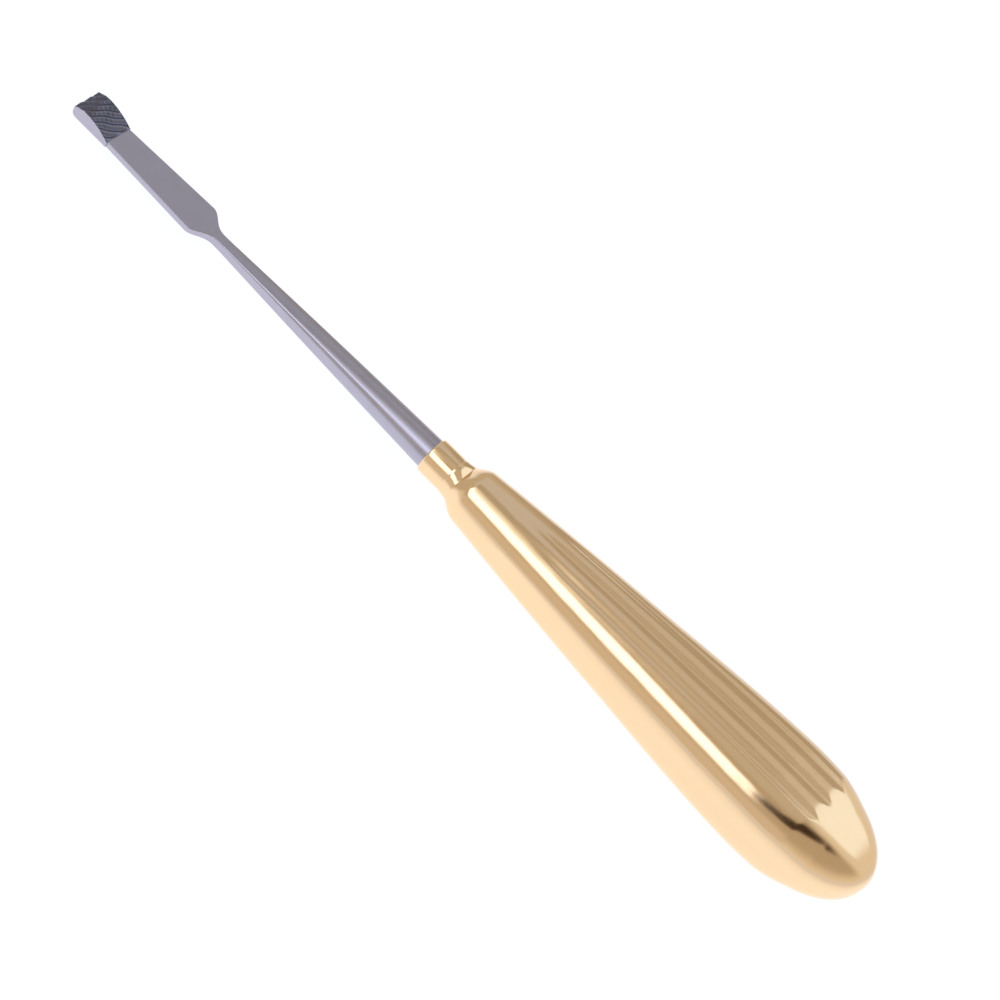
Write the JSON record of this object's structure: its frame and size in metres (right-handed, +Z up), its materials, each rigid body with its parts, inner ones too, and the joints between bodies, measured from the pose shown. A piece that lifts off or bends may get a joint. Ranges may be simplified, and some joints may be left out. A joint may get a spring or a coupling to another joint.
{
  "type": "bone file",
  "caption": "Surgical bone file: arched head with slanted teeth on a flat blade and tapered steel shaft, set in a collared, fluted, pear-shaped gilt handle.",
  "frame": {"origin": "centre of the bounding box's bottom, on the surface that the tool lies on", "axes": "+X along the tool from the toothed head to the butt, +Z up, away from the surface that it lies on; the teeth face up"},
  "size_m": [0.2289, 0.0264, 0.0215],
  "materials": {
    "gilding": "polished gold plating",
    "steel": "satin, with a dark toothed face"
  },
  "bodies": {
    "root": {"handle": "gilding", "file_shaft": "steel"}
  },
  "joints": []
}
